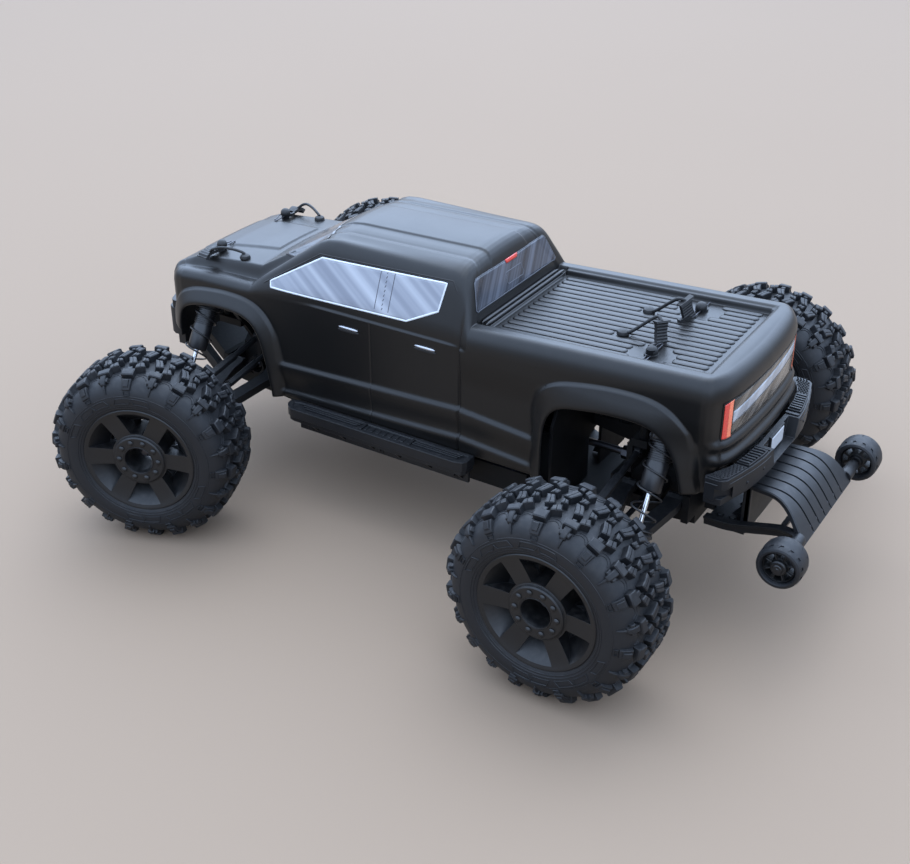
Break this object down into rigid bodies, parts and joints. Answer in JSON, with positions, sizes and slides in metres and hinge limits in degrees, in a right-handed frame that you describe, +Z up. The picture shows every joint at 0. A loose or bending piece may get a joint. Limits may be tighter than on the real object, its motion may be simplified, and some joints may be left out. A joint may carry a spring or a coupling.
{
  "type": "rc monster truck",
  "caption": "Radio-controlled monster truck: crew-cab pickup shell clipped on a four-wheel-drive chassis with long-travel suspension, turning front wheels and a wheelie bar",
  "frame": {"origin": "the middle of the bounding box, on the ground under the truck", "axes": "+X points to the front bumper, +Y to the truck's left side, +Z up; the four tyres stand on z = 0"},
  "size_m": [0.6238, 0.491, 0.2365],
  "materials": {
    "shell": "satin graphite-black paint on clear polycarbonate",
    "tyre": "matte black moulded rubber",
    "wheel": "matte black moulded nylon",
    "moulded": "fine-grained black moulded nylon",
    "shock": "black anodised aluminium",
    "spring": "black coated spring wire",
    "steel": "polished steel",
    "alloy": "dark anodised aluminium",
    "pack": "shrink-wrapped battery pack"
  },
  "bodies": {
    "chassis": {"chassis_plate": "moulded", "front_bulkhead": "moulded", "rear_bulkhead": "moulded", "front_bumper": "moulded", "rear_bumper": "moulded", "wheelie_bar": "moulded", "side_step_left": "moulded", "side_step_right": "moulded", "body_shell": "shell", "battery": "pack", "speed_controller": "moulded", "steering_servo": "moulded", "motor": "alloy"},
    "arm_front_left": {"lower_arm_front_left": "moulded"},
    "link_front_left": {"upper_link_front_left": "moulded"},
    "caster_left": {"caster_block_left": "moulded"},
    "knuckle_left": {"steering_knuckle_left": "moulded"},
    "wheel_front_left": {"tyre_front_left": "tyre", "rim_front_left": "wheel"},
    "shaft_front_left": {"halfshaft_front_left": "steel"},
    "shock_front_left": {"shock_body_front_left": "shock", "spring_front_left": "spring"},
    "piston_front_left": {"shock_shaft_front_left": "steel"},
    "arm_front_right": {"lower_arm_front_right": "moulded"},
    "link_front_right": {"upper_link_front_right": "moulded"},
    "caster_right": {"caster_block_right": "moulded"},
    "knuckle_right": {"steering_knuckle_right": "moulded"},
    "wheel_front_right": {"tyre_front_right": "tyre", "rim_front_right": "wheel"},
    "shaft_front_right": {"halfshaft_front_right": "steel"},
    "shock_front_right": {"shock_body_front_right": "shock", "spring_front_right": "spring"},
    "piston_front_right": {"shock_shaft_front_right": "steel"},
    "arm_rear_left": {"lower_arm_rear_left": "moulded"},
    "link_rear_left": {"upper_link_rear_left": "moulded"},
    "hub_left": {"hub_carrier_left": "moulded"},
    "wheel_rear_left": {"tyre_rear_left": "tyre", "rim_rear_left": "wheel"},
    "shaft_rear_left": {"halfshaft_rear_left": "steel"},
    "shock_rear_left": {"shock_body_rear_left": "shock", "spring_rear_left": "spring"},
    "piston_rear_left": {"shock_shaft_rear_left": "steel"},
    "arm_rear_right": {"lower_arm_rear_right": "moulded"},
    "link_rear_right": {"upper_link_rear_right": "moulded"},
    "hub_right": {"hub_carrier_right": "moulded"},
    "wheel_rear_right": {"tyre_rear_right": "tyre", "rim_rear_right": "wheel"},
    "shaft_rear_right": {"halfshaft_rear_right": "steel"},
    "shock_rear_right": {"shock_body_rear_right": "shock", "spring_rear_right": "spring"},
    "piston_rear_right": {"shock_shaft_rear_right": "steel"},
    "centre_link": {"steering_link": "moulded"},
    "tie_rod_left": {"tie_rod_left": "moulded"},
    "tie_rod_right": {"tie_rod_right": "moulded"},
    "spur": {"spur_gear": "moulded"},
    "pinion": {"motor_pinion": "steel"},
    "prop_front": {"front_driveshaft": "alloy"},
    "prop_rear": {"rear_driveshaft": "alloy"},
    "wheelie_left": {"wheelie_wheel_left": "tyre"},
    "wheelie_right": {"wheelie_wheel_right": "tyre"}
  },
  "joints": [
    {"name": "arm_front_left_swing", "type": "hinge", "parent": "chassis", "child": "arm_front_left", "pos_m": [0.2161, 0.04, 0.076], "axis": [1, 0, 0], "range_deg": [-6, 16], "stiffness_Nm_per_rad": 6, "springref_deg": -6.42},
    {"name": "link_front_left_swing", "type": "hinge", "parent": "chassis", "child": "link_front_left", "pos_m": [0.2055, 0.046, 0.112], "axis": [1, 0, 0], "range_deg": [-6.5, 16.5]},
    {"name": "caster_left_pivot", "type": "hinge", "parent": "arm_front_left", "child": "caster_left", "pos_m": [0.2161, 0.146, 0.06], "axis": [1, 0, 0], "range_deg": [-16.5, 6.5]},
    {"name": "shaft_front_left_swing", "type": "hinge", "parent": "chassis", "child": "shaft_front_left", "pos_m": [0.2161, 0.034, 0.0775], "axis": [1, 0, 0], "range_deg": [-6, 15]},
    {"name": "shock_front_left_swing", "type": "hinge", "parent": "chassis", "child": "shock_front_left", "pos_m": [0.2361, 0.062, 0.16], "axis": [1, 0, 0], "range_deg": [-3, 7.5]},
    {"name": "piston_front_left_slide", "type": "slide", "parent": "shock_front_left", "child": "piston_front_left", "axis": [0, 0.5245, -0.8514], "range_m": [-0.0188, 0.0072], "deforming": ["spring_front_left"]},
    {"name": "knuckle_left_steer", "type": "hinge", "parent": "caster_left", "child": "knuckle_left", "pos_m": [0.2161, 0.154, 0.0775], "axis": [0, 0, 1], "range_deg": [-52, 8]},
    {"name": "wheel_front_left_spin", "type": "hinge", "parent": "knuckle_left", "child": "wheel_front_left", "pos_m": [0.20186, 0.18923, 0.0775], "axis": [-0.3746, 0.9272, 0], "continuous": true},
    {"name": "arm_front_right_swing", "type": "hinge", "parent": "chassis", "child": "arm_front_right", "pos_m": [0.2161, -0.04, 0.076], "axis": [-1, 0, 0], "range_deg": [-6, 16], "stiffness_Nm_per_rad": 6, "springref_deg": -6.42},
    {"name": "link_front_right_swing", "type": "hinge", "parent": "chassis", "child": "link_front_right", "pos_m": [0.2055, -0.046, 0.112], "axis": [-1, 0, 0], "range_deg": [-6.5, 16.5]},
    {"name": "caster_right_pivot", "type": "hinge", "parent": "arm_front_right", "child": "caster_right", "pos_m": [0.2161, -0.146, 0.06], "axis": [-1, 0, 0], "range_deg": [-16.5, 6.5]},
    {"name": "shaft_front_right_swing", "type": "hinge", "parent": "chassis", "child": "shaft_front_right", "pos_m": [0.2161, -0.034, 0.0775], "axis": [-1, 0, 0], "range_deg": [-6, 15]},
    {"name": "shock_front_right_swing", "type": "hinge", "parent": "chassis", "child": "shock_front_right", "pos_m": [0.2361, -0.062, 0.16], "axis": [-1, 0, 0], "range_deg": [-3, 7.5]},
    {"name": "piston_front_right_slide", "type": "slide", "parent": "shock_front_right", "child": "piston_front_right", "axis": [0, -0.5245, -0.8514], "range_m": [-0.0188, 0.0072], "deforming": ["spring_front_right"]},
    {"name": "knuckle_right_steer", "type": "hinge", "parent": "caster_right", "child": "knuckle_right", "pos_m": [0.2161, -0.154, 0.0775], "axis": [0, 0, 1], "range_deg": [-52.5, 8.5]},
    {"name": "wheel_front_right_spin", "type": "hinge", "parent": "knuckle_right", "child": "wheel_front_right", "pos_m": [0.23034, -0.18923, 0.0775], "axis": [-0.3746, 0.9272, 0], "continuous": true},
    {"name": "arm_rear_left_swing", "type": "hinge", "parent": "chassis", "child": "arm_rear_left", "pos_m": [-0.1739, 0.04, 0.076], "axis": [1, 0, 0], "range_deg": [-6, 16], "stiffness_Nm_per_rad": 6, "springref_deg": -6.42},
    {"name": "link_rear_left_swing", "type": "hinge", "parent": "chassis", "child": "link_rear_left", "pos_m": [-0.1633, 0.046, 0.112], "axis": [1, 0, 0], "range_deg": [-6.5, 16.5]},
    {"name": "hub_left_pivot", "type": "hinge", "parent": "arm_rear_left", "child": "hub_left", "pos_m": [-0.1739, 0.146, 0.06], "axis": [1, 0, 0], "range_deg": [-16.5, 6.5]},
    {"name": "shaft_rear_left_swing", "type": "hinge", "parent": "chassis", "child": "shaft_rear_left", "pos_m": [-0.1739, 0.034, 0.0775], "axis": [1, 0, 0], "range_deg": [-6, 15]},
    {"name": "shock_rear_left_swing", "type": "hinge", "parent": "chassis", "child": "shock_rear_left", "pos_m": [-0.1939, 0.062, 0.16], "axis": [1, 0, 0], "range_deg": [-3, 7.5]},
    {"name": "piston_rear_left_slide", "type": "slide", "parent": "shock_rear_left", "child": "piston_rear_left", "axis": [0, 0.5245, -0.8514], "range_m": [-0.0188, 0.0072], "deforming": ["spring_rear_left"]},
    {"name": "wheel_rear_left_spin", "type": "hinge", "parent": "hub_left", "child": "wheel_rear_left", "pos_m": [-0.1739, 0.192, 0.0775], "axis": [0, 1, 0], "continuous": true},
    {"name": "arm_rear_right_swing", "type": "hinge", "parent": "chassis", "child": "arm_rear_right", "pos_m": [-0.1739, -0.04, 0.076], "axis": [-1, 0, 0], "range_deg": [-6, 16], "stiffness_Nm_per_rad": 6, "springref_deg": -6.42},
    {"name": "link_rear_right_swing", "type": "hinge", "parent": "chassis", "child": "link_rear_right", "pos_m": [-0.1633, -0.046, 0.112], "axis": [-1, 0, 0], "range_deg": [-6.5, 16.5]},
    {"name": "hub_right_pivot", "type": "hinge", "parent": "arm_rear_right", "child": "hub_right", "pos_m": [-0.1739, -0.146, 0.06], "axis": [-1, 0, 0], "range_deg": [-16.5, 6.5]},
    {"name": "shaft_rear_right_swing", "type": "hinge", "parent": "chassis", "child": "shaft_rear_right", "pos_m": [-0.1739, -0.034, 0.0775], "axis": [-1, 0, 0], "range_deg": [-6, 15]},
    {"name": "shock_rear_right_swing", "type": "hinge", "parent": "chassis", "child": "shock_rear_right", "pos_m": [-0.1939, -0.062, 0.16], "axis": [-1, 0, 0], "range_deg": [-3, 7.5]},
    {"name": "piston_rear_right_slide", "type": "slide", "parent": "shock_rear_right", "child": "piston_rear_right", "axis": [0, -0.5245, -0.8514], "range_m": [-0.0188, 0.0072], "deforming": ["spring_rear_right"]},
    {"name": "wheel_rear_right_spin", "type": "hinge", "parent": "hub_right", "child": "wheel_rear_right", "pos_m": [-0.1739, -0.192, 0.0775], "axis": [0, 1, 0], "continuous": true},
    {"name": "centre_link_slide", "type": "slide", "parent": "chassis", "child": "centre_link", "axis": [0, 1, 0], "range_m": [-0.0037, 0.0229]},
    {"name": "tie_rod_left_swing", "type": "hinge", "parent": "centre_link", "child": "tie_rod_left", "pos_m": [0.192, 0.03826, 0.104], "axis": [1, 0, 0], "range_deg": [-6.5, 16.5]},
    {"name": "tie_rod_right_swing", "type": "hinge", "parent": "centre_link", "child": "tie_rod_right", "pos_m": [0.192, -0.05774, 0.104], "axis": [-1, 0, 0], "range_deg": [-6.5, 16.5]},
    {"name": "spur_spin", "type": "hinge", "parent": "chassis", "child": "spur", "pos_m": [0.0061, 0, 0.0775], "axis": [1, 0, 0], "continuous": true},
    {"name": "pinion_spin", "type": "hinge", "parent": "chassis", "child": "pinion", "pos_m": [0.0061, -0.02653, 0.084], "axis": [1, 0, 0], "continuous": true},
    {"name": "prop_front_spin", "type": "hinge", "parent": "chassis", "child": "prop_front", "pos_m": [0.0211, 0, 0.0775], "axis": [1, 0, 0], "continuous": true},
    {"name": "prop_rear_spin", "type": "hinge", "parent": "chassis", "child": "prop_rear", "pos_m": [0.0211, 0, 0.0775], "axis": [1, 0, 0], "continuous": true},
    {"name": "wheelie_left_spin", "type": "hinge", "parent": "chassis", "child": "wheelie_left", "pos_m": [-0.2949, 0.0844, 0.0815], "axis": [0, 1, 0], "continuous": true},
    {"name": "wheelie_right_spin", "type": "hinge", "parent": "chassis", "child": "wheelie_right", "pos_m": [-0.2949, -0.0844, 0.0815], "axis": [0, 1, 0], "continuous": true}
  ],
  "couplings": [
    {"joint": "link_front_left_swing", "follows": "arm_front_left_swing", "ratio": 1},
    {"joint": "caster_left_pivot", "follows": "arm_front_left_swing", "ratio": -1},
    {"joint": "shaft_front_left_swing", "follows": "arm_front_left_swing", "ratio": 0.91},
    {"joint": "shock_front_left_swing", "follows": "arm_front_left_swing", "ratio": 0.428},
    {"joint": "piston_front_left_slide", "follows": "arm_front_left_swing", "m_per_rad": -0.06524},
    {"joint": "link_front_right_swing", "follows": "arm_front_right_swing", "ratio": 1},
    {"joint": "caster_right_pivot", "follows": "arm_front_right_swing", "ratio": -1},
    {"joint": "shaft_front_right_swing", "follows": "arm_front_right_swing", "ratio": 0.91},
    {"joint": "shock_front_right_swing", "follows": "arm_front_right_swing", "ratio": 0.428},
    {"joint": "piston_front_right_slide", "follows": "arm_front_right_swing", "m_per_rad": -0.06524},
    {"joint": "link_rear_left_swing", "follows": "arm_rear_left_swing", "ratio": 1},
    {"joint": "hub_left_pivot", "follows": "arm_rear_left_swing", "ratio": -1},
    {"joint": "shaft_rear_left_swing", "follows": "arm_rear_left_swing", "ratio": 0.91},
    {"joint": "shock_rear_left_swing", "follows": "arm_rear_left_swing", "ratio": 0.428},
    {"joint": "piston_rear_left_slide", "follows": "arm_rear_left_swing", "m_per_rad": -0.06524},
    {"joint": "link_rear_right_swing", "follows": "arm_rear_right_swing", "ratio": 1},
    {"joint": "hub_right_pivot", "follows": "arm_rear_right_swing", "ratio": -1},
    {"joint": "shaft_rear_right_swing", "follows": "arm_rear_right_swing", "ratio": 0.91},
    {"joint": "shock_rear_right_swing", "follows": "arm_rear_right_swing", "ratio": 0.428},
    {"joint": "piston_rear_right_slide", "follows": "arm_rear_right_swing", "m_per_rad": -0.06524},
    {"joint": "centre_link_slide", "follows": "knuckle_left_steer", "m_per_rad": -0.025},
    {"joint": "knuckle_right_steer", "follows": "knuckle_left_steer", "ratio": 1},
    {"joint": "tie_rod_left_swing", "follows": "arm_front_left_swing", "ratio": 1},
    {"joint": "tie_rod_right_swing", "follows": "arm_front_right_swing", "ratio": 1},
    {"joint": "pinion_spin", "follows": "spur_spin", "ratio": -2.875},
    {"joint": "prop_front_spin", "follows": "spur_spin", "ratio": 1},
    {"joint": "prop_rear_spin", "follows": "spur_spin", "ratio": 1}
  ]
}
